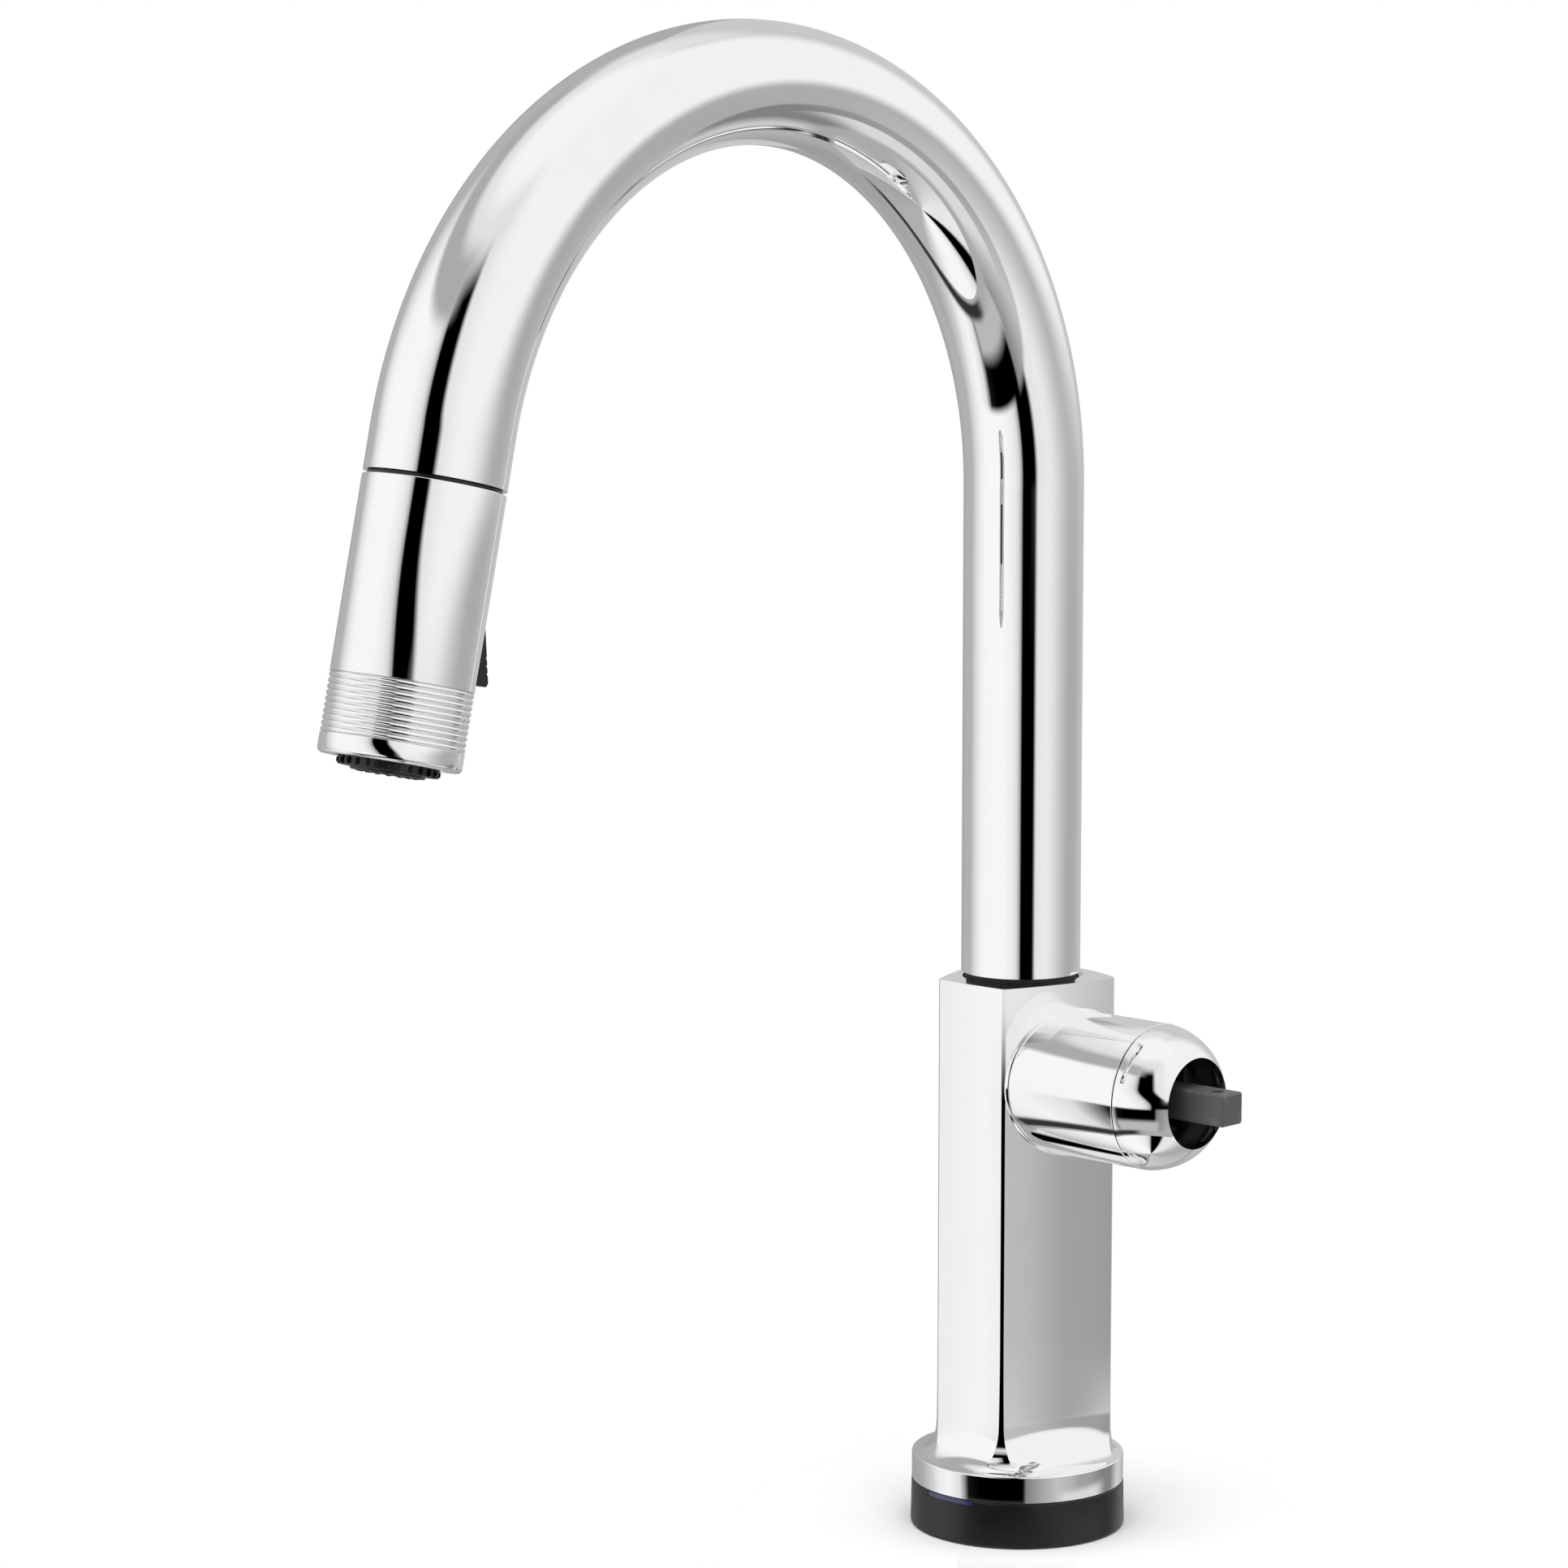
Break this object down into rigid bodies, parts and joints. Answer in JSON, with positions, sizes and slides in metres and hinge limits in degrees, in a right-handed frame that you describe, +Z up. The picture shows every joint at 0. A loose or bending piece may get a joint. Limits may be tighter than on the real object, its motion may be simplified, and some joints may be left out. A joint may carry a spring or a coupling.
{
  "type": "pull down kitchen faucet",
  "caption": "High-arc single-hole kitchen faucet with pull-down spray wand, keystone column on a round foot, side handle hub with a square lever stub and deck mounting shank.",
  "frame": {"origin": "centre of the base on the deck plane, on the column's and shank's axis", "axes": "+Z up, -Y the way the spout reaches over the sink, +X out of the handle hub"},
  "size_m": [0.1021, 0.2724, 0.4581],
  "materials": {
    "chrome": "polished mirror chrome plate",
    "black_plastic": "satin black moulded plastic",
    "white_plastic": "natural acetal",
    "blue_lens": "dark blue translucent light window",
    "circuit_board": "green solder mask",
    "black_rubber": "soft moulded rubber",
    "brass": "machined",
    "steel": "turned stainless steel",
    "magnet": "nickel plated magnet",
    "ceramic": null,
    "zinc": "gray die-cast zinc, matte"
  },
  "bodies": {
    "base": {"column_body": "chrome", "base_ring": "black_plastic", "indicator_lens": "blue_lens", "light_board": "circuit_board", "deck_seal": "black_rubber", "mounting_shank": "brass", "rubber_washer": "black_rubber", "steel_washer": "steel", "mounting_nut": "brass", "clamp_screws": "steel", "hub_trim": "chrome", "hub_sleeve": "chrome", "dome_cap": "chrome", "valve_body": "brass", "valve_screws": "steel", "port_nipples": "brass", "port_seal": "black_rubber", "cartridge_housing": "white_plastic", "fixed_disc": "ceramic", "bonnet_nut": "brass", "lower_bushing": "white_plastic", "upper_bushing": "white_plastic", "glide_ring": "black_plastic", "retaining_screw": "steel"},
    "spout": {"spout_tube": "chrome", "spout_insert": "brass", "hose_guide": "white_plastic", "dock_collar": "black_plastic", "dock_magnet": "magnet"},
    "hose": {"hose_end": "steel", "hose_swivel_nut": "brass"},
    "wand": {"wand_shell": "chrome", "wand_collar": "black_plastic", "docking_ring": "steel", "button_pin": "steel", "wand_waterway": "white_plastic", "check_valve": "white_plastic", "spray_carrier": "black_plastic", "tooth_ring": "black_plastic", "nozzle_disc": "black_plastic", "soft_nozzles": "black_rubber", "stream_screen": "steel", "face_seal": "black_rubber"},
    "button": {"spray_button": "black_plastic"},
    "diverter": {"diverter_plunger": "steel"},
    "stem": {"stem_carrier": "white_plastic", "lever_pin": "steel"},
    "lever": {"lever_stub": "zinc"},
    "disc": {"moving_disc": "ceramic", "disc_driver": "white_plastic"}
  },
  "joints": [
    {"name": "spout_swivel", "type": "hinge", "parent": "base", "child": "spout", "pos_m": [0, 0, 0.1525], "axis": [0, 0, 1], "range_deg": [-180, 180]},
    {"name": "wand_pull", "type": "slide", "parent": "spout", "child": "hose", "axis": [0, -0.23, -0.9732], "range_m": [0, 0.2]},
    {"name": "wand_twist", "type": "hinge", "parent": "hose", "child": "wand", "pos_m": [0, -0.21133, 0.29554], "axis": [0, -0.23, -0.9732], "continuous": true},
    {"name": "button_rock", "type": "hinge", "parent": "wand", "child": "button", "pos_m": [0, -0.2045, 0.26227], "axis": [-1, 0, 0], "range_deg": [0, 7]},
    {"name": "diverter_slide", "type": "slide", "parent": "wand", "child": "diverter", "axis": [0, -0.9732, 0.23], "range_m": [0, 0.00116]},
    {"name": "temperature_turn", "type": "hinge", "parent": "base", "child": "stem", "pos_m": [0.05, 0, 0.1242], "axis": [1, 0, 0], "range_deg": [-45, 45]},
    {"name": "flow_tilt", "type": "hinge", "parent": "stem", "child": "lever", "pos_m": [0.05, 0, 0.1242], "axis": [0, -1, 0], "range_deg": [0, 20]},
    {"name": "disc_slide", "type": "slide", "parent": "stem", "child": "disc", "axis": [0, 0, -1], "range_m": [0, 0.0042]}
  ],
  "couplings": [
    {"joint": "button_rock", "follows": "diverter_slide", "rad_per_m": 105.26},
    {"joint": "disc_slide", "follows": "flow_tilt", "m_per_rad": 0.0115}
  ]
}
